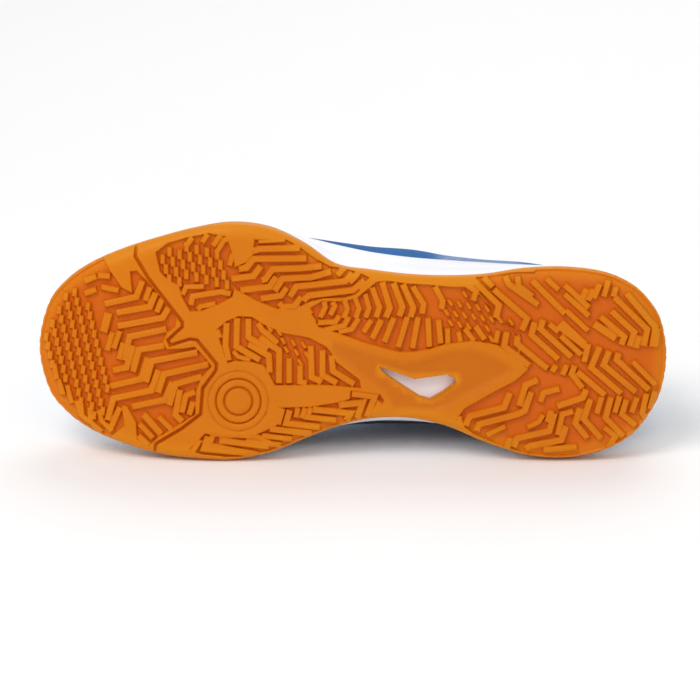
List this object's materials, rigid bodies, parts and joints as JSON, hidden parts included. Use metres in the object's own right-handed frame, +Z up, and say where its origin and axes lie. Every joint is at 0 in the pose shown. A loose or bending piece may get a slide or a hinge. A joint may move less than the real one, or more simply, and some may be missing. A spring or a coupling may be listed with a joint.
{
  "type": "indoor court shoe",
  "caption": "Left indoor court shoe lying on its inner side: moulded gum outsole, foam midsole, laced low textile upper open at the collar.",
  "frame": {"origin": "middle of the bounding box's base, on the floor the shoe lies on", "axes": "+X from the toe to the heel, the sole faces -Y and a little upwards, +Z up, towards the shoe's outer side"},
  "size_m": [0.292, 0.1112, 0.1089],
  "materials": {
    "gum_rubber": "satin translucent gum rubber",
    "white_foam": "matte moulded foam",
    "navy_textile": "matte knitted cover",
    "blue_textile": "matte mesh textile",
    "blue_padding": "matte padded textile",
    "navy_overlay": "smooth synthetic overlay",
    "white_cord": "flat woven cord"
  },
  "bodies": {
    "root": {"outsole": "gum_rubber", "midsole": "white_foam", "insole": "navy_textile", "upper": "blue_textile", "tongue": "blue_padding", "eyestay_outer": "navy_overlay", "eyestay_inner": "navy_overlay", "heel_counter": "navy_overlay", "laces": "white_cord"}
  },
  "joints": []
}
